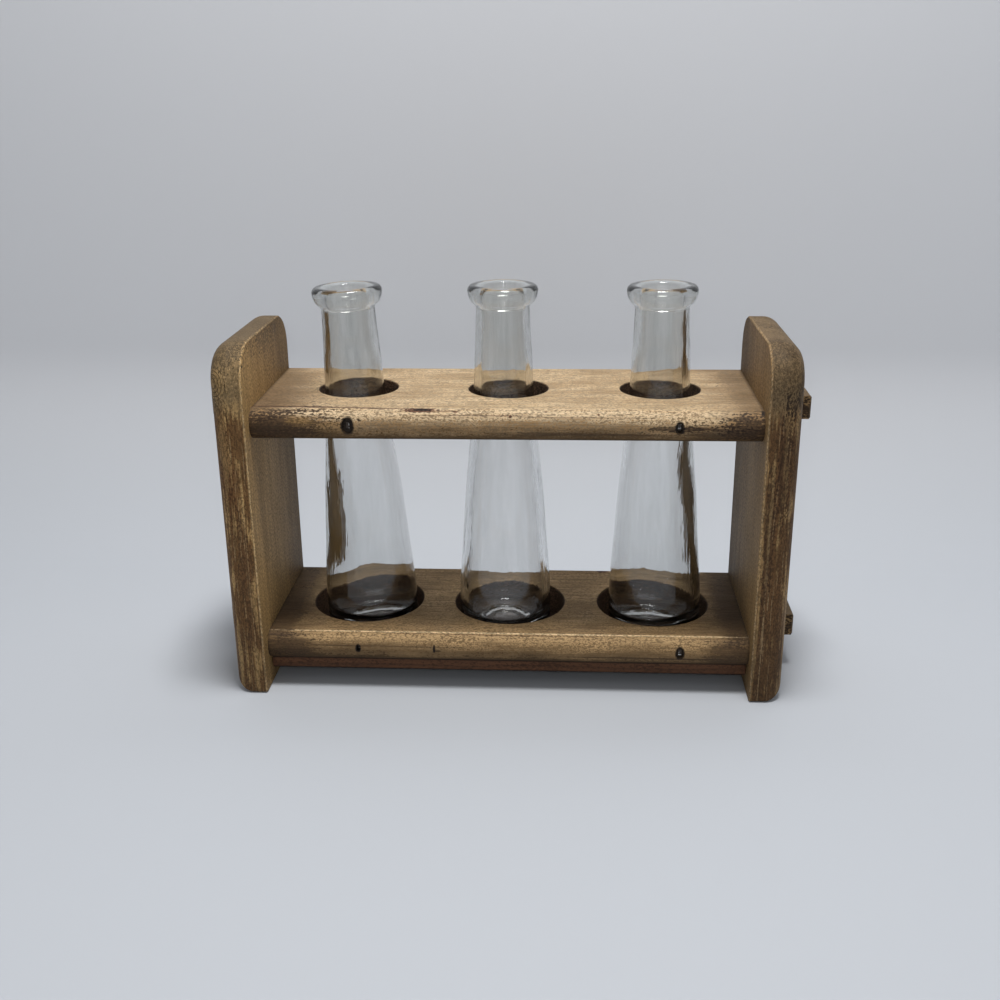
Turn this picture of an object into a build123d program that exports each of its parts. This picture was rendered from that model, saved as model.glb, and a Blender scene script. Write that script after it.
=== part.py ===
from build123d import *
from math import cos, radians, sin
import os

os.makedirs("parts", exist_ok=True)

# A wooden rack of two end boards and two tenoned shelves that holds three blown glass bottles.
# X runs along the rack, Y from its front to its back, Z up. The origin is on the surface it stands
# on, midway between the end boards and midway through their depth. All lengths are in millimetres.

# Driving dimensions of the rack
inner_width = 250.0  # clear width between the end boards
board_thickness = 17.0
board_depth = 97.6
board_height = 184.0
shelf_thickness = 15.5
upper_shelf_top = 151.3
lower_shelf_top = 30.5
panel_thickness = 6.5

# Driving dimensions of the holes
bottle_count = 3
hole_pitch_share = 0.3128  # of the inner width, from one hole's middle to the next
hole_line_share = 0.4375  # of the boards' depth, from their back to the holes' middles
upper_hole_diameter = 41.0
lower_hole_diameter = 60.0

# End boards: sharp towards the inside, rounded over on the outside
top_corner_radius = 19.0
bottom_corner_radius = 2.0
outer_arris_radius = 9.5
inner_arris_chamfer = 0.6

# Shelves: square back edge flush with the boards, rounded nose that swells forward
shelf_setback = 13.5  # from the boards' front to the arris where the nose starts
nose_swell = 5.8
shelf_arris_radius = 0.8
hole_arris_chamfer = 0.6

# Through tenons, one at each end of a shelf, flush with its top face
tenon_width = 28.0
tenon_thickness = 12.0
tenon_stand_out = 11.0  # past the outer face of the board
tenon_arris_chamfer = 0.8
tenon_fit = 0.1  # clearance of a mortise all round its tenon

# Base panel under the lower shelf
panel_end_gap = 0.5
panel_arris_radius = 0.6

# Brads: those in a shelf's front edge lie at the bottom of a worn oblong recess
brad_head_width = 1.4
brad_head_height = 3.0
brad_head_thickness = 1.0
brad_shank_side = 1.2
brad_tip_cover = 1.1  # least wood between the tip of a brad in a nose and the lower shelf's holes
brad_point_share = 0.2  # of the brad's length
brad_point_width = 0.2
brad_fit = 0.05  # clearance of its hole all round
upper_brad_shares = (-0.612, 0.677)  # of half the inner width, from the middle
upper_brad_height = 8.0  # above the underside of the shelf
upper_recess_widths = (5.2, 2.8)
upper_recess_heights = (8.2, 5.6)
upper_recess_depths = (1.8, 2.2)
lower_brad_shares = (-0.618, 0.718)
lower_brad_height = 8.2
lower_recess_widths = (1.8, 3.8)
lower_recess_heights = (3.6, 6.2)
lower_recess_depths = (3.4, 1.8)
panel_brad_end_inset = 11.0  # from the ends of the panel
panel_brad_edge_inset = 9.0  # from its long edges
panel_brad_rows = 2
panel_brad_bite = 6.2  # how far they reach into the lower shelf

# Outside of a bottle: heights are above its foot
foot_inner_radius = 15.0
punt_height = 3.2  # how far the foot is kicked up in the middle
heel_radius = 5.0
body_radius = 24.8
body_height = 20.0  # where the body starts to lean in
belly_height = 35.0
belly_radius = 24.1
shoulder_height = 83.0
shoulder_radius = 20.5
throat_height = 136.0
throat_radius = 15.7
neck_height = 166.0
neck_radius = 14.1
collar_height = 178.0  # where the rim starts to flare
collar_radius = 13.7
rim_height = 187.0  # where the rim is widest
rim_radius = 17.9
lip_rise = 3.0  # from there to the top of the lip
crown_radius = 14.6  # where the lip is highest
lip_foot_height = 185.9  # where the lip has rounded into the bore

# Inside of a bottle: a straight bore, then a cavity that widens with the wall down to a domed floor
bore_radius = 10.8
bore_foot_height = 161.0
throat_wall = 3.8
shoulder_wall = 3.8
belly_wall = 4.1
body_wall = 4.4
cavity_turn_height = 24.0  # where the cavity's wall becomes upright
cavity_side_height = 16.0  # where it starts to round into the floor
floor_edge_radius = 11.4
floor_edge_height = 7.2
floor_crown_height = 8.6

# How the bottles stand in their holes: foot off the hole's middle, and lean to the right in degrees
left_foot_shift = 2.1
middle_foot_shift = -2.6
right_foot_shift = 1.1
left_lean = -1.83
middle_lean = 0.0
right_lean = -0.5

# Places worked out from the sizes above
inner_half = inner_width / 2
back = board_depth / 2
shelf_front = shelf_setback - board_depth / 2
nose_front = -shelf_front + nose_swell  # how far the nose stands in front of the middle plane
hole_pitch = inner_width * hole_pitch_share
hole_line = back - board_depth * hole_line_share
lower_shelf_underside = lower_shelf_top - shelf_thickness
panel_underside = lower_shelf_underside - panel_thickness
tenon_line = (shelf_front + back) / 2
tenon_end = inner_half + board_thickness + tenon_stand_out
front_web = hole_line - lower_hole_diameter / 2 + nose_front  # from the nose to the lower holes
nose_brad_length = front_web - max(upper_recess_depths + lower_recess_depths) - brad_tip_cover
panel_brad_length = panel_thickness + panel_brad_bite
panel_brad_row_length = inner_width - 2 * panel_end_gap - 2 * panel_brad_end_inset
panel_brad_row_depth = back - shelf_front - 2 * panel_brad_edge_inset


def nose_planes(top, brad_shares, brad_height, depths):
    """Where the brads of a shelf's nose have their heads: planes that look into the wood."""
    height = top - shelf_thickness + brad_height
    spots = [(inner_half * share, depth - nose_front, height) for share, depth in zip(brad_shares, depths)]
    return [Plane(spot, x_dir=(1, 0, 0), z_dir=(0, 1, 0)) for spot in spots]


def panel_planes():
    """Where the base panel's brads have their heads, flush with its underside."""
    base = Plane((0, tenon_line, panel_underside))
    grid = GridLocations(panel_brad_row_length, panel_brad_row_depth, panel_brad_rows, panel_brad_rows)
    return [Plane(base * spot) for spot in grid.locations]


def brads(planes, length):
    """Brads driven in along the planes' normals: an oblong head, a square shank and a chisel point."""
    shank_length = length * (1 - brad_point_share) - brad_head_thickness
    with BuildPart() as pins:
        for plane in planes:
            with BuildSketch(plane):
                Rectangle(brad_head_width, brad_head_height)
            extrude(amount=brad_head_thickness)
            with BuildSketch(plane.offset(brad_head_thickness)):
                Rectangle(brad_shank_side, brad_shank_side)
            extrude(amount=shank_length)
            with BuildSketch(plane.offset(brad_head_thickness + shank_length)):
                Rectangle(brad_shank_side, brad_shank_side)
            with BuildSketch(plane.offset(length)):
                Rectangle(brad_shank_side, brad_point_width)
            loft()
    return pins.part


def brad_holes(planes, length):
    """The holes that brads have driven for themselves, a little larger all round."""
    with BuildPart() as holes:
        for plane in planes:
            with BuildSketch(plane):
                Rectangle(brad_head_width + 2 * brad_fit, brad_head_height + 2 * brad_fit)
            extrude(amount=brad_head_thickness)
            with BuildSketch(plane):
                Rectangle(brad_shank_side + 2 * brad_fit, brad_shank_side + 2 * brad_fit)
            extrude(amount=length + brad_fit)
    return holes.part


def shelf(top, hole_diameter, brad_planes, widths, heights):
    """A shelf with its rounded nose, its row of holes, two tenons and the worn holes of its brads."""
    underside = top - shelf_thickness
    holes = brad_holes(brad_planes, nose_brad_length)
    with BuildPart() as board:
        with BuildSketch(Plane.YZ.offset(-inner_half)):
            with BuildLine():
                Polyline((shelf_front, underside), (back, underside), (back, top), (shelf_front, top))
                nose = (-nose_front, (top + underside) / 2)
                ThreePointArc((shelf_front, top), nose, (shelf_front, underside))
            make_face()
        extrude(amount=inner_width)
        fillet(board.faces().sort_by(Axis.Y)[-1].edges().filter_by(Axis.X), shelf_arris_radius)
        with BuildSketch(Plane.YZ.offset(-tenon_end)):
            with Locations((tenon_line, top - tenon_thickness / 2)):
                Rectangle(tenon_width, tenon_thickness)
        extrude(amount=2 * tenon_end)
        for end in (0, -1):
            chamfer(board.faces().sort_by(Axis.X)[end].edges(), tenon_arris_chamfer)
        with BuildSketch(Plane.XY.offset(top)):
            with Locations((0, hole_line)):
                with GridLocations(hole_pitch, 0, bottle_count, 1):
                    Circle(hole_diameter / 2)
        extrude(amount=-shelf_thickness, mode=Mode.SUBTRACT)
        chamfer(board.edges(Select.LAST).filter_by(GeomType.CIRCLE), hole_arris_chamfer)
        for plane, width, height in zip(brad_planes, widths, heights):
            with BuildSketch(plane):
                SlotOverall(height, width, rotation=90)
            extrude(amount=-nose_swell, mode=Mode.SUBTRACT)
        add(holes, mode=Mode.SUBTRACT)
    return board.part


def bottle(hole_place, foot_shift, lean):
    """A bottle turned about its own axis, which may lean; its foot is ground flat on the panel."""
    angle = radians(lean)
    foot_radius = body_radius - heel_radius
    dip = foot_radius * abs(sin(angle))
    foot = Vector(hole_place + foot_shift, hole_line, lower_shelf_underside - dip)
    upward = Vector(sin(angle), 0, cos(angle))
    section = Plane(foot, x_dir=(cos(angle), 0, -sin(angle)), z_dir=(0, -1, 0))
    bottle_height = rim_height + lip_rise
    crown = (crown_radius, bottle_height)
    lip_foot = (bore_radius, lip_foot_height)
    belly = (belly_radius, belly_height)
    shoulder = (shoulder_radius, shoulder_height)
    throat = (throat_radius, throat_height)
    inner_throat = (throat_radius - throat_wall, throat_height)
    inner_shoulder = (shoulder_radius - shoulder_wall, shoulder_height)
    inner_belly = (belly_radius - belly_wall, belly_height)
    inner_body = body_radius - body_wall
    cavity_turn = (inner_body, cavity_turn_height)
    cavity_side = (inner_body, cavity_side_height)
    floor_edge = (floor_edge_radius, floor_edge_height)
    with BuildPart() as glass:
        with BuildSketch(section):
            with BuildLine():
                TangentArc((0, punt_height), (foot_inner_radius, 0), tangent=(1, 0))
                Line((foot_inner_radius, 0), (foot_radius, 0))
                Bezier((foot_radius, 0), (body_radius, 0), (body_radius, heel_radius))
                Polyline((body_radius, heel_radius), (body_radius, body_height), belly, shoulder, throat)
                Polyline(throat, (neck_radius, neck_height), (collar_radius, collar_height))
                TangentArc((rim_radius, rim_height), (collar_radius, collar_height), tangent=(0, -1))
                Bezier((rim_radius, rim_height), (rim_radius, bottle_height), crown)
                Bezier(crown, (bore_radius, bottle_height), lip_foot)
                Polyline(lip_foot, (bore_radius, bore_foot_height), inner_throat, inner_shoulder)
                Polyline(inner_shoulder, inner_belly, cavity_turn, cavity_side)
                Bezier(cavity_side, (inner_body, floor_edge_height), floor_edge)
                Line(floor_edge, (0, floor_crown_height))
                Line((0, floor_crown_height), (0, punt_height))
            make_face()
        revolve(axis=Axis(foot, upward))
        if lean:
            split(bisect_by=Plane.XY.offset(lower_shelf_underside), keep=Keep.TOP)
    return glass.part


# End boards
with BuildPart() as right_end_board:
    with BuildSketch(Plane.YZ.offset(inner_half)) as side_view:
        with Locations((0, board_height / 2)):
            Rectangle(board_depth, board_height)
        fillet(side_view.vertices().group_by(Axis.Y)[-1], top_corner_radius)
    extrude(amount=board_thickness)
    fillet(right_end_board.faces().sort_by(Axis.X)[-1].edges(), outer_arris_radius)
    fillet(right_end_board.edges().filter_by(Axis.X).group_by(Axis.Z)[0], bottom_corner_radius)
    chamfer(right_end_board.faces().sort_by(Axis.X)[0].edges(), inner_arris_chamfer)
    with BuildSketch(Plane.YZ.offset(inner_half)):
        for tenon_top in (upper_shelf_top, lower_shelf_top):
            with Locations((tenon_line, tenon_top - tenon_thickness / 2)):
                Rectangle(tenon_width + 2 * tenon_fit, tenon_thickness + 2 * tenon_fit)
    extrude(amount=board_thickness, mode=Mode.SUBTRACT)
right_end_board.part.label = "right_end_board"
export_step(right_end_board.part, "parts/right_end_board.step")

with BuildPart() as left_end_board:
    mirror(right_end_board.part, about=Plane.YZ)
left_end_board.part.label = "left_end_board"
export_step(left_end_board.part, "parts/left_end_board.step")

# Shelves: the upper one holds the bottles by their necks, the lower one keeps their feet in place
upper_planes = nose_planes(upper_shelf_top, upper_brad_shares, upper_brad_height, upper_recess_depths)
upper_recesses = (upper_recess_widths, upper_recess_heights)
upper_shelf = shelf(upper_shelf_top, upper_hole_diameter, upper_planes, *upper_recesses)
upper_shelf.label = "upper_shelf"
export_step(upper_shelf, "parts/upper_shelf.step")

lower_planes = nose_planes(lower_shelf_top, lower_brad_shares, lower_brad_height, lower_recess_depths)
lower_recesses = (lower_recess_widths, lower_recess_heights)
lower_board = shelf(lower_shelf_top, lower_hole_diameter, lower_planes, *lower_recesses)
panel_brad_holes = brad_holes(panel_planes(), panel_brad_length)
with BuildPart() as lower_shelf:
    add(lower_board)
    add(panel_brad_holes, mode=Mode.SUBTRACT)
lower_shelf.part.label = "lower_shelf"
export_step(lower_shelf.part, "parts/lower_shelf.step")

# Base panel: it closes the lower shelf's holes, so the bottles stand on it
with BuildPart() as base_panel:
    with BuildSketch(Plane.XY.offset(lower_shelf_underside)):
        with Locations((0, tenon_line)):
            Rectangle(inner_width - 2 * panel_end_gap, back - shelf_front)
    extrude(amount=-panel_thickness)
    fillet(base_panel.faces().sort_by(Axis.Z)[0].edges(), panel_arris_radius)
    add(panel_brad_holes, mode=Mode.SUBTRACT)
base_panel.part.label = "base_panel"
export_step(base_panel.part, "parts/base_panel.step")

# Brads: two in each shelf's nose, four through the base panel
upper_shelf_brads = brads(upper_planes, nose_brad_length)
upper_shelf_brads.label = "upper_shelf_brads"
export_step(upper_shelf_brads, "parts/upper_shelf_brads.step")

lower_shelf_brads = brads(lower_planes, nose_brad_length)
lower_shelf_brads.label = "lower_shelf_brads"
export_step(lower_shelf_brads, "parts/lower_shelf_brads.step")

panel_brads = brads(panel_planes(), panel_brad_length)
panel_brads.label = "panel_brads"
export_step(panel_brads, "parts/panel_brads.step")

# Bottles, from left to right
left_bottle = ("bottle_left", -hole_pitch, left_foot_shift, left_lean)
middle_bottle = ("bottle_middle", 0, middle_foot_shift, middle_lean)
right_bottle = ("bottle_right", hole_pitch, right_foot_shift, right_lean)
for name, hole_place, foot_shift, lean in (left_bottle, middle_bottle, right_bottle):
    glass = bottle(hole_place, foot_shift, lean)
    glass.label = name
    export_step(glass, f"parts/{name}.step")
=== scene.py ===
"""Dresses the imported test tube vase: a stained softwood rack that holds three blown glass bottles.

All lengths are in metres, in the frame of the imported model: x to the right, y to the back, z up.
Sizes written in millimetres pass through MM or mm(). Colours are linear.
"""

import math

import bpy
import numpy as np
from mathutils import Matrix, Vector


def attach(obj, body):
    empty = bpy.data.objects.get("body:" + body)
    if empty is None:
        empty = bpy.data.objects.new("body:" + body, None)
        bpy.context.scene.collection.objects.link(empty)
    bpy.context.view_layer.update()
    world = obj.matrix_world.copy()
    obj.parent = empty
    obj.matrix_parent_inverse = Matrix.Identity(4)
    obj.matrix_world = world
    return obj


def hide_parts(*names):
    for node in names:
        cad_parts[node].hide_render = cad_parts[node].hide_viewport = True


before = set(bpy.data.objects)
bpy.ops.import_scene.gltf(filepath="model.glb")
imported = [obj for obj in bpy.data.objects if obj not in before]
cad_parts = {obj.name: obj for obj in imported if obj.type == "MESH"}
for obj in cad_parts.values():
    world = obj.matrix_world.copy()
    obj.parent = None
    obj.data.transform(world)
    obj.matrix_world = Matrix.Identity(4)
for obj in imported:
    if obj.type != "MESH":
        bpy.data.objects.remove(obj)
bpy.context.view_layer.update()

MM = 0.001


def mm(*lengths):
    """Millimetres as metres."""
    return tuple(length * MM for length in lengths)


# ---- camera --------------------------------------------------------------------------------------

CAMERA_PLACE = Vector((0.030364, -0.583390, 0.303294))
CAMERA_YAW = -0.0600017  # radians to the right of straight back
CAMERA_PITCH = 0.3476226  # looks down by this much
CAMERA_ROLL = 0.0102458
CAMERA_FOCAL_PIXELS = 1168.594
IMAGE_PIXELS = 1000
SENSOR = 36.0  # millimetres


def aimed_camera():
    """A camera turned by yaw about the vertical, tilted down by pitch and rolled about its own line
    of sight."""
    level = math.cos(CAMERA_PITCH)
    forward = Vector((
        math.sin(CAMERA_YAW) * level, math.cos(CAMERA_YAW) * level, -math.sin(CAMERA_PITCH)))
    flat_right = Vector((math.cos(CAMERA_YAW), -math.sin(CAMERA_YAW), 0))
    flat_down = forward.cross(flat_right)
    right = math.cos(CAMERA_ROLL) * flat_right + math.sin(CAMERA_ROLL) * flat_down
    down = math.cos(CAMERA_ROLL) * flat_down - math.sin(CAMERA_ROLL) * flat_right
    lens = bpy.data.cameras.new("camera")
    lens.sensor_width = SENSOR
    lens.lens = CAMERA_FOCAL_PIXELS * SENSOR / IMAGE_PIXELS
    camera = bpy.data.objects.new("camera", lens)
    bpy.context.scene.collection.objects.link(camera)
    turn = Matrix((right, -down, -forward)).transposed()
    camera.matrix_world = Matrix.LocRotScale(CAMERA_PLACE, turn.to_quaternion(), None)
    bpy.context.scene.camera = camera


aimed_camera()


# ---- finishes ------------------------------------------------------------------------------------

class Wire:
    """An output socket; arithmetic with it adds Math nodes to its finish."""

    def __init__(self, finish, socket):
        self.finish = finish
        self.socket = socket

    def math(self, operation, *others):
        inputs = dict(enumerate((self, *others)))
        return self.finish.node("ShaderNodeMath", {"operation": operation}, inputs)

    def __add__(self, other):
        return self.math("ADD", other)

    def __mul__(self, other):
        return self.math("MULTIPLY", other)

    def __sub__(self, other):
        return self.math("SUBTRACT", other)

    def __rsub__(self, other):
        return self.math("MULTIPLY", -1.0) + other

    def __truediv__(self, other):
        return self.math("DIVIDE", other)

    def __pow__(self, other):
        return self.math("POWER", other)

    def __abs__(self):
        return self.math("ABSOLUTE")

    __radd__ = __add__
    __rmul__ = __mul__

    def swing(self, share):
        """How far a value from 0 to 1 is off its middle, times a share."""
        return (self - 0.5) * share

    def step(self, low, high):
        """A smooth step from 0 at low to 1 at high, or down from 1 where low is above high."""
        first, last = (0.0, 1.0) if low < high else (1.0, 0.0)
        return self.finish.node("ShaderNodeMapRange", {"interpolation_type": "SMOOTHSTEP"}, {
            "Value": self, "From Min": min(low, high), "From Max": max(low, high),
            "To Min": first, "To Max": last})


class Finish:
    """A material whose nodes are made one by one."""

    def __init__(self, name):
        self.material = bpy.data.materials.new(name)
        self.material.use_nodes = True
        self.tree = self.material.node_tree
        self.tree.nodes.clear()

    def made(self, kind, settings=None, values=None):
        """A new node: its settings first, then the values or links of its sockets."""
        made = self.tree.nodes.new(kind)
        for name, value in (settings or {}).items():
            setattr(made, name, value)
        for key, value in (values or {}).items():
            if isinstance(value, Wire):
                self.tree.links.new(value.socket, made.inputs[key])
            else:
                made.inputs[key].default_value = value
        return made

    def node(self, kind, settings=None, values=None, output=0):
        """The output of a new node."""
        return Wire(self, self.made(kind, settings, values).outputs[output])

    def place(self):
        """The point on the surface, in metres in the object's own frame."""
        return self.node("ShaderNodeTexCoord", output="Object")

    def axes(self, vector):
        """The three numbers of a vector, apart."""
        split = self.made("ShaderNodeSeparateXYZ", values={0: vector})
        return [Wire(self, socket) for socket in split.outputs]

    def vector(self, operation, first, second):
        """A vector sum, difference or product, number by number."""
        return self.node("ShaderNodeVectorMath", {"operation": operation}, {0: first, 1: second})

    def length(self, vector):
        """The length of a vector."""
        return self.node("ShaderNodeVectorMath", {"operation": "LENGTH"}, {0: vector}, "Value")

    def noise(self, vector, waves, detail=3.0, roughness=0.55, distortion=0.0):
        """Soft noise from 0 to 1, with so many waves a metre along each axis."""
        return self.node("ShaderNodeTexNoise", values={
            "Vector": self.vector("MULTIPLY", vector, waves), "Scale": 1.0,
            "Detail": detail, "Roughness": roughness, "Distortion": distortion})

    def mix(self, share, first, second, blend="MIX"):
        """The first colour going over to the second; a colour is a wire or three numbers."""
        first, second = (
            colour if isinstance(colour, Wire) else (*colour, 1.0) for colour in (first, second))
        settings = {"data_type": "RGBA", "blend_type": blend}
        return self.node("ShaderNodeMix", settings, {0: share, 6: first, 7: second}, 2)

    def bump(self, height, distance, strength):
        """A normal that follows a height from 0 to 1 over that distance."""
        return self.node("ShaderNodeBump", values={
            "Strength": strength, "Distance": distance, "Height": height})

    def principled(self, **values):
        """A principled shader."""
        named = {key.replace("_", " "): value for key, value in values.items()}
        return self.node("ShaderNodeBsdfPrincipled", values=named)

    def ended(self, shader, **inside):
        """Ends the finish with a shader, and with what the material does to light inside it."""
        self.made("ShaderNodeOutputMaterial", values={"Surface": shader, **inside})
        return self.material


# ---- wood ----------------------------------------------------------------------------------------

RELIEF_DEPTH = 0.13 * MM
RELIEF_STRENGTH = 0.7
WOOD_SHINE = 0.18  # specular level


class Wood(Finish):
    """Softwood, with colours laid over one another by masks from 0 to 1: growth rings round a pith
    that runs along one axis, fibres, pores and noises drawn out along the grain.

    A point's two crosswise coordinates are moved by noise that changes slowly along the grain. Its
    distance from the pith, counted in rings, rises through pale early wood to a dark late band and
    drops back.
    """

    def __init__(self, name, ground, run, pith, ring, warp):
        super().__init__(name)
        self.colour = ground
        self.point = self.place()
        self.x, self.y, self.z = self.axes(self.point)
        along, first, second = {
            "x": (self.x, self.y, self.z), "z": (self.z, self.x, self.y)}[run]
        self.turned = self.node("ShaderNodeCombineXYZ", values={0: along, 1: first, 2: second})
        self.cloud = self.vein(8, 20)
        self.blotch = self.vein(30, 80, 4, 0.65)
        self.strand = self.vein(9, 330, roughness=0.6)
        self.streak = self.vein(42, 900, 2, 0.6)
        self.fibre = self.vein(60, 2200, roughness=0.65)
        self.speck = self.vein(700, 1200, 1, 0.6)
        self.grit = self.vein(620, 780, roughness=0.7)
        self.pores = self.vein(300, 2600, 2).step(0.58, 0.72)
        across = first - pith[0] + self.vein(9, 38, 2).swing(warp * 2)
        upward = second - pith[1] + self.vein(14, 60, 2).swing(warp)
        distance = (across * across + upward * upward) ** 0.5
        rings = (distance / ring + self.strand.swing(0.3)).math("FRACT")
        self.late = rings.step(0.35, 0.86) * rings.step(1.0, 0.9)

    def vein(self, lengthwise, crosswise, detail=3, roughness=0.55):
        """Noise with so many waves a metre along the grain and across it."""
        return self.noise(self.turned, (lengthwise, crosswise, crosswise), detail, roughness)

    def specks(self, low, high, patchy=0.5):
        """Fine specks that crowd together where the slower noise is high."""
        return (self.speck + self.blotch.swing(patchy)).step(low, high)

    def spot(self, middle, reach, ragged):
        """One inside an egg-shaped spot, nought outside: the offset from its middle, each number
        divided by the spot's reach that way, has a length below one. Noise makes its outline
        ragged."""
        offset = self.vector("SUBTRACT", self.point, middle)
        length = self.length(self.vector("MULTIPLY", offset, tuple(1 / side for side in reach)))
        noise = self.streak.swing(2.2) + self.speck.swing(1.8) + self.blotch.swing(1.2)
        return (length + noise * ragged).step(1.12, 0.76)

    def lay(self, colour, share):
        """Lays a colour over what is there, by that share."""
        self.colour = self.mix(share, self.colour, colour)

    def tint(self, factor):
        """Multiplies what is there by a colour or a value."""
        self.colour = self.mix(1.0, self.colour, factor, "MULTIPLY")

    def mark(self, marks):
        """Lays spots over what is there."""
        for middle, reach, ragged, share, colour in marks:
            self.lay(colour, self.spot(mm(*middle), mm(*reach), ragged) * share)

    def granulate(self, contrast):
        """Makes what is there lighter and darker by fine granules."""
        light = (self.speck * 0.7 + self.fibre * 0.3).step(0.42, 0.58)
        self.tint(light * (contrast * 2) + (1 - contrast))

    def finished(self, roughness, uneven):
        """Ends the finish: late wood, fibres and specks stand up and pores are sunk, by a few
        hundredths of a millimetre."""
        height = (self.late * 0.3 + self.fibre * 0.4 + self.strand * 0.3
                  + self.speck * 0.5 - self.pores * 0.6)
        return self.ended(self.principled(
            Base_Color=self.colour, Roughness=self.blotch * uneven + roughness,
            Specular_IOR_Level=WOOD_SHINE, Normal=self.bump(height, RELIEF_DEPTH, RELIEF_STRENGTH)))


HOLE_PITCH = 78.2 * MM  # from one hole's middle to the next
HOLE_LINE = 6.1 * MM  # how far the holes' middles lie behind the rack's middle plane
SHELF_THICKNESS = 15.5 * MM
SHELF_END = 125.0 * MM  # where a shelf meets the inner face of an end board
NOSE_ARRIS = -35.3 * MM  # where a shelf's front starts to round down
BOARD_OUTSIDE = 142.0 * MM
BOARD_TOP = 184.0 * MM
TENON_END = 153.0 * MM
PANEL_MIDDLE = 11.75 * MM


def shelf_wood(name, top, hole_radius, pith, shades, top_painted_shade, marks):
    """Softwood stained tan. The nose is rubbed pale along its upper arris and goes over, through
    specks, to dark brown at its foot and towards the end boards: stain, darkened downwards and at
    the foot by painted shade. The holes' walls are near black. Marks are its knots, cracks, stained
    patches, partly painted shade by the end boards, sunk brads and a painted highlight along the
    lower shelf's top arris."""
    pale, tan, brown, dark = shades
    wood = Wood(name, pale, "x", pith, ring=3.6 * MM, warp=5 * MM)
    down = (top - wood.z) / SHELF_THICKNESS  # nought at the top face, one at the underside
    nose = wood.y.step(NOSE_ARRIS + 3 * MM, NOSE_ARRIS - 0.5 * MM)  # the rounded front
    back = wood.y.step(-26 * MM, -2 * MM)  # from the holes' line backwards
    aside = abs(wood.x)
    ends = (aside + wood.blotch.swing(16 * MM)).step(92 * MM, 122 * MM)

    # rings, clouds, streaks and fibres
    wood.lay(tan, wood.late * 0.30 + wood.strand.step(0.42, 0.66) * 0.25)
    wood.lay(tan, wood.cloud.step(0.42, 0.7) * 0.35)
    wood.lay(tan, wood.streak.step(0.49, 0.62) * (back * 0.3 + 0.32))
    wood.lay(tan, wood.fibre.step(0.50, 0.62) * 0.4)

    # specks of dirt, thicker towards the ends
    dirt = (wood.speck + wood.blotch.swing(0.45) + wood.streak.swing(0.3)
            + ends * 0.17 + back * 0.03)
    wood.lay(brown, dirt.step(0.53, 0.63) * 0.58)
    wood.lay(dark, dirt.step(0.66, 0.76) * 0.58)

    # stain down the nose, darkened downwards partly by painted shade; its golden flecks; its dark
    # foot, which is painted shade; and the pale arris
    stain = (down * 1.2 + ends * 0.30 + wood.blotch.swing(0.9) + wood.speck.swing(1.5)
             + wood.strand.swing(0.6)) * nose
    wood.lay(brown, stain.step(0.30, 0.64) * 0.85)
    wood.lay(dark, stain.step(0.86, 1.02) * 0.8)
    wood.lay(tan, wood.specks(0.49, 0.41, 0.6) * nose * down.step(0.95, 0.7) * 0.8)
    # painted shade where the nose turns under
    wood.lay(dark, down.step(0.90, 0.99) * 0.75)
    rubbed = down.step(0.26, 0.10) * nose * (wood.streak + wood.blotch - 0.5).step(0.44, 0.56)
    wood.lay(pale, rubbed * (1 - ends) * 0.75)
    wood.lay(brown, wood.pores * 0.4)
    # darkens the top against the nose: painted shade, mostly for the lower shelf's top under the
    # upper shelf
    wood.tint(nose * (1 - top_painted_shade) + top_painted_shade)
    wood.mark(marks)
    wood.lay(dark, aside.step(SHELF_END - 1.8 * MM, SHELF_END - 0.1 * MM) * 0.6)

    # walls of the holes: folding x brings the nearest hole's axis to one place
    nearest = abs(aside - HOLE_PITCH).math("MINIMUM", aside)
    inward = wood.y - HOLE_LINE
    wall = (nearest * nearest + inward * inward) ** 0.5
    wall = wall.step(hole_radius + 0.5 * MM, hole_radius + 0.15 * MM)
    # the holes' walls near black, darker than the rest of the shelf
    near_black = wood.mix(wood.specks(0.45, 0.65), (0.035, 0.018, 0.011), (0.075, 0.042, 0.026))
    wood.lay(near_black, wall * 0.96)

    # tenons beyond the end boards: weathered, sawn across at the end, darker on the front and back
    beyond = aside.step(BOARD_OUTSIDE - 1 * MM, BOARD_OUTSIDE)
    weathered = wood.mix(wood.specks(0.45, 0.62), (0.22, 0.155, 0.085), (0.09, 0.058, 0.03))
    wood.lay(weathered, beyond * 0.9)
    sawn = aside.step(TENON_END - 0.25 * MM, TENON_END - 0.05 * MM)
    end_grain = wood.mix(wood.specks(0.5, 0.64, 0.8), (0.035, 0.02, 0.009), (0.11, 0.07, 0.03))
    wood.lay(end_grain, sawn * 0.96)
    facing = abs(wood.axes(wood.node("ShaderNodeNewGeometry", output="Normal"))[1])
    patches = (wood.blotch + wood.speck.swing(0.8)).step(0.5, 0.66)
    cheek = wood.mix(patches, (0.04, 0.022, 0.01), (0.20, 0.125, 0.055))
    wood.lay(cheek, facing.step(0.5, 0.9) * beyond * (1 - sawn) * 0.9)
    wood.granulate(0.40)
    return wood.finished(roughness=0.5, uneven=0.25)


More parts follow.
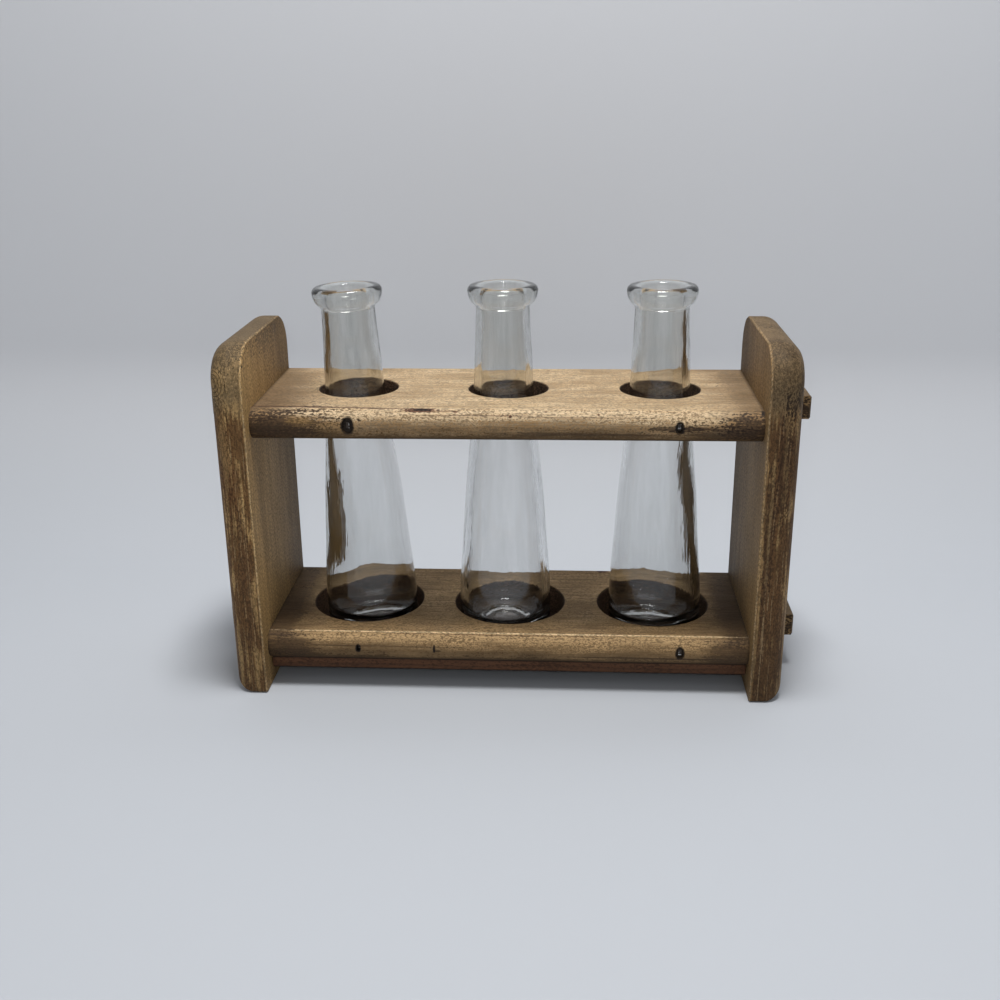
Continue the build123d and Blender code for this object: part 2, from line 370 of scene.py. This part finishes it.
def board_wood(name, pith, eye, tone, marks):
    """Softwood stained olive brown, grain upright. The inner face is smooth, with fine streaks,
    darker towards the back by painted shade. The edges have reddish dark streaks broken by thin tan
    ones, speckled end grain at the crown with arched ring lines round the eye, and a thin broken
    pale line where the inner arris was sanded. The outer face has the same streaks, but fainter.
    Every face darkens towards the foot by painted shade."""
    olive, umber = (0.47, 0.297, 0.12), (0.24, 0.143, 0.058)
    russet, dark = (0.105, 0.044, 0.014), (0.036, 0.021, 0.009)
    tan, grey_brown, sanded = (0.42, 0.285, 0.14), (0.160, 0.108, 0.053), (0.50, 0.36, 0.20)
    wood = Wood(name, olive, "z", pith, ring=2 * MM, warp=3 * MM)
    aside = abs(wood.x)
    outward = aside.step(SHELF_END + 0.4 * MM, SHELF_END + 1.4 * MM)  # all but the inner face
    flank = aside.step(BOARD_OUTSIDE - 1.2 * MM, BOARD_OUTSIDE - 0.05 * MM)  # the outer face
    crown = (wood.z + wood.blotch.swing(14 * MM)).step(BOARD_TOP - 36 * MM, BOARD_TOP - 25 * MM)
    crown = crown * (1 - flank)

    # strands, clouds, streaks, fibres and specks
    wood.lay(umber, wood.strand.step(0.44, 0.62) * 0.45)
    wood.lay(umber, wood.cloud.step(0.45, 0.72) * 0.5)
    wood.lay(umber, wood.streak.step(0.48, 0.66) * 0.4)
    wood.lay(umber, wood.fibre.step(0.5, 0.66) * 0.3)
    wood.lay(umber, wood.specks(0.50, 0.62, 0.6) * (outward * 0.35 + 0.16))

    # rubbed and scratched edges below the crown
    rubbed = (wood.strand + wood.blotch.swing(0.8)).step(0.41, 0.50) * outward * (1 - crown)
    wood.lay(russet, rubbed * (0.8 - flank * 0.5))
    scratched = (wood.streak + wood.strand.swing(0.5)).step(0.60, 0.70) * outward * (1 - crown)
    wood.lay(tan, scratched * (0.6 - flank * 0.35))
    wood.lay(grey_brown, crown * outward * 0.85)

    # ring lines round the eye
    reach = wood.length(wood.vector("SUBTRACT", wood.point, eye)) + wood.blotch.swing(1.6 * MM)
    arch = (reach / (1.75 * MM)).math("FRACT")
    arch = arch.step(0.60, 0.72) * arch.step(0.98, 0.82) * reach.step(11 * MM, 8.5 * MM)
    wood.lay(olive, reach.step(10 * MM, 7 * MM) * outward * 0.35)
    wood.lay(dark, arch * outward * 0.85)

    # pits and bright grains of the end grain, away from the eye
    plain = reach.step(5 * MM, 8 * MM)
    pits = (wood.grit * 0.6 + wood.speck * 0.4 + wood.blotch.swing(0.5)).step(0.535, 0.57)
    wood.lay(dark, pits * outward * plain * (crown * 0.35 + 0.3))
    bright = (wood.grit * 0.5 + wood.speck * 0.5 + wood.cloud.swing(0.4)).step(0.48, 0.45)
    wood.lay(tan, bright * outward * crown * plain * 0.6)

    # the sanded arris and a second pale line low on the edge
    thin = aside + wood.blotch.swing(1.5 * MM) + wood.speck.swing(0.8 * MM)
    arris = aside.step(SHELF_END + 0.05 * MM, SHELF_END + 0.25 * MM)
    arris = arris * thin.step(SHELF_END + 0.9 * MM, SHELF_END + 0.5 * MM)
    broken = (wood.grit + wood.blotch.swing(0.8)).step(0.40, 0.54)
    wood.lay(sanded, arris * (broken * 0.6 + 0.2))
    second = abs(thin - SHELF_END - 4.4 * MM).step(0.45 * MM, 0.15 * MM)
    low = (wood.z + wood.blotch.swing(40 * MM)).step(120 * MM, 90 * MM)
    wood.lay(tan, second * low * outward * 0.4)
    wood.mark(marks)

    # painted shade at the back of the inner face and down to the foot
    shaded = (wood.y + wood.blotch.swing(30 * MM)).step(-20 * MM, 50 * MM)
    wood.lay(dark, shaded * (1 - outward) * 0.66)
    foot = (wood.z + wood.blotch.swing(30 * MM)).step(70 * MM, 4 * MM)
    wood.lay(dark, foot * 0.4)
    wood.tint(tone)
    wood.granulate(0.38)
    return wood.finished(roughness=0.5, uneven=0.2)


def panel_wood():
    """The base panel's reddish dark brown, darker along its upper and lower edges by painted shade.
    """
    red, deep = (0.13, 0.058, 0.028), (0.075, 0.034, 0.017)
    wood = Wood("panel wood", red, "x", mm(10, -60), ring=3.4 * MM, warp=5 * MM)
    wood.lay(deep, wood.late * 0.5 + wood.strand.step(0.42, 0.66) * 0.4)
    wood.lay((0.02, 0.01, 0.006), wood.specks(0.5, 0.64) * 0.5 + wood.pores * 0.4)
    # painted shade along the upper and lower edges, in the gap under the shelf and above the floor
    edge = abs(wood.z - PANEL_MIDDLE).step(2.1 * MM, 2.9 * MM)
    wood.lay((0.014, 0.008, 0.005), edge * 0.85)
    return wood.finished(roughness=0.55, uneven=0.2)


def brad_metal():
    """Steel browned by stain, with a worn bright fleck."""
    finish = Finish("brad steel")
    dull = finish.noise(finish.place(), (700, 700, 700))
    stained = dull.step(0.36, 0.50)
    return finish.ended(finish.principled(
        Base_Color=finish.mix(stained, (0.75, 0.75, 0.73), (0.04, 0.026, 0.017)),
        Roughness=dull * 0.3 + 0.3, Metallic=1 - stained))


def dress(names, material):
    """Gives CAD nodes a finish."""
    for name in names:
        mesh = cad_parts[name].data
        mesh.materials.clear()
        mesh.materials.append(material)


SOOT = (0.012, 0.008, 0.006)
KNOT = (0.085, 0.028, 0.014)
LINE = (0.10, 0.05, 0.028)
PURPLE = (0.048, 0.027, 0.015)
GOLD = (0.30, 0.18, 0.07)
UMBER = (0.14, 0.088, 0.046)

# Each mark: its middle and its reach along the three axes in millimetres, how ragged it is, the
# share by which it covers, and its colour
UPPER_MARKS = (
    # darker ends of the top by the end boards: stain, and painted shade from the boards
    ((-117, -18, 151), (22, 44, 6), 1.1, 0.50, UMBER),
    ((-120, -26, 151), (12, 26, 6), 1.1, 0.40, UMBER),
    ((123, 5, 151), (11, 60, 6), 1.1, 0.50, UMBER),
    ((-110, -40, 144), (26, 5, 9.0), 1.1, 0.85, PURPLE),
    ((-101, -40.6, 146.5), (8, 3, 2.8), 1.5, 0.60, GOLD),
    ((-84, -40.6, 143.0), (10, 3, 3.0), 0.9, 0.35, GOLD),
    ((119, -40, 144.0), (12, 5, 8.5), 1.2, 0.85, PURPLE),
    ((106, -40, 140.5), (20, 4, 4.5), 1.2, 0.65, PURPLE),
    ((92, -41, 143.4), (26, 2.5, 1.1), 0.8, 0.70, PURPLE),
    ((30, -40.6, 140.2), (38, 2.5, 1.2), 0.9, 0.60, PURPLE),
    ((-108, -32.3, 151.3), (26, 1.0, 1.5), 0.25, 0.92, (0.07, 0.032, 0.018)),
    ((-80, -33.9, 151.3), (20, 0.8, 1.5), 0.25, 0.88, (0.08, 0.036, 0.02)),
    ((-60, -35.2, 151.2), (15, 0.7, 1.2), 0.3, 0.80, LINE),
    ((-41, -36.2, 151), (9.8, 1.9, 1.7), 0.45, 0.90, KNOT),
    ((-40, -36.2, 151), (6.0, 0.9, 1.0), 0.5, 0.92, SOOT),
    ((-28, -37.0, 150.6), (9, 0.5, 0.7), 0.4, 0.65, LINE),
    ((-8, -38.9, 149.0), (30, 0.7, 0.35), 0.4, 0.55, LINE),
    ((38, -39.4, 148.4), (34, 0.7, 0.30), 0.4, 0.45, LINE),
    ((3.0, -39.2, 148.7), (0.7, 2.0, 0.7), 0.1, 0.90, KNOT),
    ((45.6, -38.3, 149.6), (0.6, 2.0, 0.5), 0.1, 0.85, KNOT),
    ((20.3, -36.9, 150.6), (0.7, 1.0, 0.5), 0.1, 0.60, KNOT),
    ((-23.7, -37.5, 150.3), (1.2, 1.0, 0.5), 0.2, 0.80, KNOT),
    ((20, 44, 151), (1.2, 0.8, 1.0), 0.2, 0.6, KNOT),
    ((124.7, -36.9, 150.6), (1.6, 1.6, 1.6), 0.3, 0.95, SOOT),
    ((-76.5, -40.5, 143.8), (3.5, 5.0, 4.9), 0.08, 0.97, SOOT),
    ((84.6, -40.5, 143.8), (2.4, 5.0, 3.6), 0.2, 0.95, SOOT),
)
LOWER_MARKS = (
    # a painted highlight along the top front arris of the lower shelf
    ((0, -35.45, 30.4), (160, 0.55, 0.8), 0.15, 0.80, (0.78, 0.58, 0.34)),
    ((-37.4, -40.9, 23.6), (0.7, 3.0, 2.4), 0.2, 0.95, SOOT),
    ((-35.8, -41.0, 22.4), (2.0, 3.0, 0.5), 0.3, 0.70, SOOT),
    ((52, 47.5, 30.3), (3.6, 2.2, 1.5), 0.4, 0.9, KNOT),
    ((-8, -36.6, 29.7), (70, 0.5, 0.5), 0.5, 0.5, LINE),
    ((70, -41.0, 20.0), (40, 2.0, 0.6), 0.6, 0.6, PURPLE),
    ((-70, -41.0, 24.6), (50, 2.0, 0.5), 0.6, 0.5, PURPLE),
    ((-114, -40, 23.0), (15, 6, 8), 0.8, 0.6, PURPLE),
    ((117, -40, 22.0), (12, 6, 8), 0.8, 0.6, PURPLE),
    ((-120, 0, 30.5), (9, 60, 6), 0.8, 0.6, PURPLE),
    ((120, 0, 30.5), (9, 60, 6), 0.8, 0.6, PURPLE),
    ((-77.3, -40.5, 23.2), (1.6, 6.0, 2.6), 0.1, 0.97, SOOT),
    ((89.7, -40.5, 23.2), (2.6, 5.0, 3.8), 0.1, 0.95, SOOT),
)
LEFT_MARKS = (
    ((-136, 0, 184), (14, 60, 16), 0.6, 0.75, (0.11, 0.077, 0.042)),
    ((-136, -47, 120), (3.2, 8, 34), 0.7, 0.55, (0.09, 0.035, 0.012)),
    ((-131, -48, 60), (3.4, 8, 40), 0.7, 0.40, (0.09, 0.045, 0.02)),
    ((-125.4, -44.5, 174.0), (2.0, 1.4, 0.7), 0.1, 0.9, SOOT),
)
RIGHT_MARKS = (
    ((134, -46, 128), (3.4, 8, 30), 0.7, 0.65, (0.055, 0.026, 0.011)),
    ((129, -48, 90), (2.6, 8, 40), 0.7, 0.45, (0.05, 0.026, 0.012)),
    ((136, -41, 158), (4.5, 9, 7), 0.9, 0.75, (0.045, 0.027, 0.014)),
)
dress(["left_end_board"], board_wood(
    "left board wood", pith=mm(-152, -46), eye=mm(-141.0, -46.5, 166),
    tone=(1.0, 1.0, 1.0), marks=LEFT_MARKS))
dress(["right_end_board"], board_wood(
    "right board wood", pith=mm(158, -20), eye=mm(141.5, 40, 176),
    tone=(0.74, 0.74, 0.78), marks=RIGHT_MARKS))
dress(["upper_shelf"], shelf_wood(
    "upper shelf wood", top=151.3 * MM, hole_radius=20.5 * MM, pith=mm(12, 120),
    shades=((0.58, 0.44, 0.275), (0.39, 0.262, 0.138), (0.22, 0.132, 0.058), (0.05, 0.028, 0.012)),
    top_painted_shade=0.97, marks=UPPER_MARKS))
dress(["lower_shelf"], shelf_wood(
    "lower shelf wood", top=30.5 * MM, hole_radius=30.0 * MM, pith=mm(-30, -30),
    shades=((0.47, 0.31, 0.15), (0.31, 0.195, 0.09), (0.115, 0.068, 0.03), (0.04, 0.023, 0.01)),
    top_painted_shade=0.90, marks=LOWER_MARKS))
dress(["base_panel"], panel_wood())
dress(["upper_shelf_brads", "lower_shelf_brads", "panel_brads"], brad_metal())


# ---- bottles -------------------------------------------------------------------------------------

PANEL_TOP = 15.0 * MM  # what the bottles stand on
FOOT_EDGE = 19.8 * MM  # radius of the ring that a bottle stands on
ROUND = 144  # columns round a bottle
CURVE_STEPS = 6  # from one point of a table to the next

# All tables of a bottle are in millimetres, with heights above its foot
OUTSIDE = np.array([  # radius and height, from the punt's middle to the lip and down into the bore
    (0.0, 3.2), (6.0, 2.8), (11.0, 1.6), (14.2, 0.35), (15.6, 0.0), (18.4, 0.0), (19.8, 0.05),
    (21.4, 0.3), (23.0, 1.2), (24.3, 3.0), (24.75, 5.4), (24.8, 12.0), (24.75, 23.0), (24.1, 35.0),
    (23.3, 45.0), (22.4, 57.0), (21.6, 69.0), (20.5, 83.0), (18.1, 107.0), (15.6, 136.0),
    (14.95, 151.0), (14.15, 165.0), (13.8, 174.0), (13.65, 178.0), (13.75, 179.0), (14.7, 180.2),
    (16.2, 181.7), (17.35, 184.0), (17.9, 187.0), (17.6, 188.5), (16.6, 189.6), (14.9, 190.0),
    (13.2, 189.85), (12.0, 189.3), (11.3, 188.4), (10.95, 187.1), (10.8, 184.5), (10.8, 180.0),
    (10.8, 174.0)])

# Ovals of the cavity: height, the middle's offset to the right and to the back, and the half widths
# that way. The middles lie off the axis, so that the wall is thicker in front.
NECK_OVALS = [
    (174.0, 0.0, 0.0, 10.8, 10.8), (168.0, 0.0, 0.0, 10.85, 10.85), (160.0, 0.0, 0.1, 11.3, 11.3)]
LEFT_OVALS = [
    (150.0, 0.5, 0.4, 12.9, 12.8), (136.0, 0.5, 0.7, 13.4, 13.2), (121.0, 0.7, 0.9, 14.3, 13.9),
    (107.0, 0.9, 1.5, 15.2, 14.3), (95.0, 1.3, 2.4, 15.8, 14.8), (88.0, 1.7, 2.8, 15.9, 15.1),
    (76.0, 2.0, 3.3, 16.3, 15.2), (66.0, 2.1, 3.4, 16.5, 15.3), (54.0, 2.2, 3.3, 17.1, 15.3),
    (48.0, 2.2, 3.3, 17.5, 15.4), (42.0, 2.1, 3.4, 18.1, 15.4), (36.0, 1.6, 3.4, 19.1, 15.4),
    (28.0, 1.2, 3.4, 19.8, 15.5), (20.0, 1.0, 3.4, 20.2, 15.6)]
MIDDLE_OVALS = [
    (150.0, 0.0, 0.2, 12.0, 12.0), (136.0, 0.0, 0.2, 12.5, 12.6), (121.0, 0.1, 0.3, 13.4, 13.5),
    (107.0, 0.2, 0.4, 14.5, 14.5), (95.0, 0.2, 0.4, 15.5, 15.5), (76.0, 0.1, 0.4, 17.0, 17.0),
    (54.0, 0.0, 0.3, 18.7, 18.7), (42.0, 0.0, 0.2, 19.7, 19.7), (28.0, 0.0, 0.0, 20.8, 20.8),
    (20.0, 0.0, 0.0, 21.0, 21.0)]
RIGHT_OVALS = [
    (150.0, -0.7, 0.8, 12.2, 12.1), (136.0, -0.8, 1.0, 12.8, 12.9), (121.0, -1.0, 1.2, 13.7, 13.9),
    (107.0, -1.3, 1.7, 14.6, 14.6), (95.0, -1.5, 2.5, 14.9, 14.7), (88.0, -1.6, 3.0, 15.3, 14.8),
    (76.0, -1.8, 3.4, 15.9, 14.8), (66.0, -2.0, 3.4, 16.5, 14.9), (54.0, -2.2, 3.4, 17.2, 15.0),
    (48.0, -2.2, 3.4, 17.5, 15.0), (42.0, -2.2, 3.4, 18.0, 14.8), (36.0, -2.2, 3.4, 18.6, 14.8),
    (28.0, -2.1, 3.4, 19.1, 14.9), (20.0, -1.9, 3.3, 19.4, 15.1)]
FLOOR = [  # height, and share of the last oval, from the cavity's side to its floor's middle
    (15.0, 0.99), (12.6, 0.95), (9.8, 0.85), (8.0, 0.70), (7.5, 0.48), (8.3, 0.24), (8.6, 0.0)]
WAVES = [  # how often each wave of the cavity's wall comes round it, and its size
    (2, 0.07), (3, 0.06), (5, 0.04), (8, 0.02), (1, 0.05), (4, 0.035), (11, 0.012), (17, 0.008)]


def smooth_path(points):
    """Points on a curve through the given ones: between two of them it is a cubic whose slope at a
    point is half of the way from the point before to the point after."""
    padded = np.vstack([points[0], points, points[-1]])
    before, start, end, after = padded[:-3], padded[1:-2], padded[2:-1], padded[3:]
    t = np.linspace(0, 1, CURVE_STEPS, endpoint=False)[:, None, None]
    slope_in, slope_out = (end - before) / 2, (after - start) / 2
    curve = ((2 * t**3 - 3 * t**2 + 1) * start + (t**3 - 2 * t**2 + t) * slope_in
             + (3 * t**2 - 2 * t**3) * end + (t**3 - t**2) * slope_out)
    return np.vstack([curve.transpose(1, 0, 2).reshape(-1, points.shape[1]), points[-1:]])


def between(height, foot, rise, head, fall):
    """Nought below foot, one from a rise above it to a fall below head, nought above head."""
    return np.clip((height - foot) / rise, 0, 1) * np.clip((head - height) / fall, 0, 1)


def outer_wall(angle, seed):
    """Radius and height round the outside: turned, with faint ripples that run round and up it."""
    radius, height = smooth_path(OUTSIDE).T
    ripple = (0.04 * np.sin(3 * angle + height / 11.0) + 0.02 * np.sin(height / 3.1 + 2 * angle)
              + 0.012 * np.sin(11 * angle + height / 40.0 + seed))
    return radius + ripple * between(height, foot=6.0, rise=12.0, head=172.0, fall=10.0), height


def inner_wall(angle, ovals, seed):
    """Place to the right and to the back, and height, of the bore and the cavity. A point of an
    oval is its middle plus its half widths times the cosine and the sine of the angle. Waves widen
    and narrow the oval, apart from the cavity's floor and the top of the neck."""
    side, back, wide, deep = ovals[-1][1:]
    floor = [(height, side, back, wide * share, deep * share) for height, share in FLOOR]
    path = smooth_path(np.array(NECK_OVALS + ovals + floor))[1:]  # the outside ends with the first
    height, middle_x, middle_y, half_x, half_y = path.T
    dice = np.random.default_rng(seed)
    lengths = dice.uniform(7.0, 24.0, len(WAVES))  # millimetres up the wall for one radian
    turns = dice.uniform(0, 2 * np.pi, len(WAVES))
    waves = sum(size * np.sin(times * angle + turn + height / length)
                for (times, size), length, turn in zip(WAVES, lengths, turns))
    waves = waves * between(height, foot=24.0, rise=24.0, head=168.0, fall=30.0)
    x = middle_x + (half_x + waves) * np.cos(angle)
    y = middle_y + (half_y + waves) * np.sin(angle)
    return x, y, height


def new_object(name, points, faces):
    """A smooth mesh object at the origin."""
    mesh = bpy.data.meshes.new(name)
    mesh.from_pydata(points.tolist(), [], faces)
    mesh.polygons.foreach_set("use_smooth", [True] * len(mesh.polygons))
    mesh.update()
    made = bpy.data.objects.new(name, mesh)
    bpy.context.scene.collection.objects.link(made)
    return made


def bottle(name, body, foot_x, lean, ovals, seed):
    """A blown bottle as one grid: round the axis by along the section.

    The section runs from the punt's middle out over the foot, up the outside, over the lip, down
    the bore and the cavity to the middle of its floor. A fan closes it at either end. The whole
    leans about its foot, by so many degrees, and the foot is ground flat on the panel.
    """
    angle = np.linspace(0, 2 * np.pi, ROUND, endpoint=False)[:, None]
    radius, outer_height = outer_wall(angle, seed)
    inner_x, inner_y, inner_height = inner_wall(angle, ovals, seed)
    x = np.hstack([(radius * np.cos(angle))[:, 1:], inner_x[:, :-1]])
    y = np.hstack([(radius * np.sin(angle))[:, 1:], inner_y[:, :-1]])
    z = np.broadcast_to(np.concatenate([outer_height[1:], inner_height[:-1]]), x.shape)
    punt = (0, 0, outer_height[0])
    pool = (inner_x[0, -1], inner_y[0, -1], inner_height[-1])
    upright = np.vstack([np.stack([x, y, z], axis=-1).reshape(-1, 3), punt, pool]) * MM
    across, depth, height = upright.T
    tilt = math.radians(lean)
    foot_z = PANEL_TOP - FOOT_EDGE * abs(math.sin(tilt))
    points = np.column_stack([
        across * math.cos(tilt) + height * math.sin(tilt) + foot_x,
        depth + HOLE_LINE,
        np.maximum(height * math.cos(tilt) - across * math.sin(tilt) + foot_z, PANEL_TOP)])

    columns = x.shape[1]
    row = np.arange(ROUND)[:, None] * columns
    following = np.roll(row, -1, axis=0)
    column = np.arange(columns - 1)
    quads = np.stack([
        row + column, following + column, following + column + 1, row + column + 1], axis=-1)
    first, last = ROUND * columns, columns - 1
    starts = list(zip(row[:, 0].tolist(), following[:, 0].tolist()))
    fans = [(first, b, a) for a, b in starts] + [(first + 1, a + last, b + last) for a, b in starts]
    made = new_object(name, points, quads.reshape(-1, 4).tolist() + fans)
    made.data.materials.append(glass)
    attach(made, body)
    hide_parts(body_node[body])


def clear_glass():
    """Clear thick glass with a film in the neck and upright streaks; it darkens what shines through
    by its thickness, and lamps shine straight through it."""
    finish = Finish("bottle glass")
    place = finish.place()
    neck = finish.axes(place)[2].step(PANEL_TOP + 105 * MM, PANEL_TOP + 150 * MM)
    drawn = finish.noise(place, (170, 170, 16), roughness=0.6, distortion=0.6).step(0.35, 0.65)
    threads = finish.noise(place, (620, 620, 34), detail=2.0, roughness=0.6).step(0.35, 0.65)
    streaks = drawn * 0.6 + threads * 0.4
    clear = finish.mix(streaks, (0.93, 0.93, 0.93), (1.0, 1.0, 1.0))
    filmed = finish.mix(streaks, (0.82, 0.82, 0.80), (0.96, 0.96, 0.94))
    height = drawn * 0.5 + finish.noise(place, (240, 240, 90), detail=2.0) * 0.6
    shader = finish.principled(
        Base_Color=finish.mix(neck, clear, filmed), Roughness=0.0, IOR=1.5, Transmission_Weight=1.0,
        Normal=finish.bump(height, distance=0.22 * MM, strength=0.45))
    through = finish.node("ShaderNodeBsdfTransparent", values={"Color": (0.9, 0.91, 0.9, 1.0)})
    lamp_ray = finish.node("ShaderNodeLightPath", output="Is Shadow Ray")
    both = finish.node("ShaderNodeMixShader", values={0: lamp_ray, 1: shader, 2: through})
    return finish.ended(both, Volume=finish.node("ShaderNodeVolumeAbsorption", values={
        "Color": (0.37, 0.405, 0.375, 1.0), "Density": 20.0}))


glass = clear_glass()
body_node = {
    "left_bottle": "bottle_left", "middle_bottle": "bottle_middle", "right_bottle": "bottle_right"}
bottle("left_bottle_glass", "left_bottle",
       foot_x=-76.1 * MM, lean=-1.83, ovals=LEFT_OVALS, seed=3)
bottle("middle_bottle_glass", "middle_bottle",
       foot_x=-2.6 * MM, lean=0.0, ovals=MIDDLE_OVALS, seed=5)
bottle("right_bottle_glass", "right_bottle",
       foot_x=79.3 * MM, lean=-0.5, ovals=RIGHT_OVALS, seed=11)


# ---- floor, backdrop and lamps -------------------------------------------------------------------

SWEEP_START = 0.12  # where the paper starts to curve up
SWEEP_RADIUS = 0.12
SWEEP_REACH = 3.0  # to either side and to the front
SWEEP_HEIGHT = 2.4


def paper_finish():
    """Pale paper, painted lighter on the wall than on the floor as painted light. From its back the
    camera sees through it, so that the vase can be seen from there."""
    finish = Finish("paper")
    # painted light: the wall gets a lighter colour than the floor of the same sheet
    wall = finish.axes(finish.place())[2].step(0.0, SWEEP_RADIUS)
    shader = finish.principled(
        Base_Color=finish.mix(wall, (0.52, 0.542, 0.575), (0.665, 0.675, 0.70)), Roughness=0.8)
    clear = finish.node("ShaderNodeBsdfTransparent")
    behind = finish.node("ShaderNodeNewGeometry", output="Backfacing")
    camera_ray = finish.node("ShaderNodeLightPath", output="Is Camera Ray")
    return finish.ended(finish.node("ShaderNodeMixShader", values={
        0: behind * camera_ray, 1: shader, 2: clear}))


def paper_sweep():
    """A sheet of paper: flat floor, a quarter turn and an upright wall, one section carried
    sideways."""
    turn = np.linspace(0, np.pi / 2, 24)
    section = np.vstack([
        [(-SWEEP_REACH, 0.0)],
        np.column_stack([
            SWEEP_START + SWEEP_RADIUS * np.sin(turn), SWEEP_RADIUS * (1 - np.cos(turn))]),
        [(SWEEP_START + SWEEP_RADIUS, SWEEP_HEIGHT)]])
    count = len(section)
    points = np.vstack([
        np.column_stack([np.full(count, side), section]) for side in (-SWEEP_REACH, SWEEP_REACH)])
    index = np.arange(count - 1)
    quads = np.column_stack([index, index + count, index + count + 1, index + 1])
    made = new_object("paper_sweep", points, quads.tolist())
    made.data.materials.append(paper_finish())


def lamp(name, place, aim, size, power):
    """A square lamp that looks at a point and isn't seen itself."""
    light = bpy.data.lights.new(name, "AREA")
    light.shape, light.size, light.energy = "SQUARE", size, power
    made = bpy.data.objects.new(name, light)
    bpy.context.scene.collection.objects.link(made)
    made.visible_camera = False
    made.location = place
    made.rotation_euler = (Vector(aim) - Vector(place)).to_track_quat("-Z", "Y").to_euler()


paper_sweep()
lamp("overhead lamp", place=(0.06, -0.14, 1.25), aim=(0, -0.03, 0.05), size=0.28, power=11.4)
lamp("front lamp", place=(0.1, -1.3, 0.5), aim=(0, 0, 0.1), size=0.6, power=1.2)
lamp("glint lamp", place=(0.012, -0.585, 0.325), aim=(0, 0, 0.1), size=0.02, power=0.16)
world = bpy.data.worlds.new("studio")
world.use_nodes = True
sky = world.node_tree.nodes["Background"]
sky.inputs["Color"].default_value = (0.95, 0.97, 1.0, 1.0)
sky.inputs["Strength"].default_value = 0.28
bpy.context.scene.world = world
bpy.context.scene.view_settings.view_transform = "Standard"
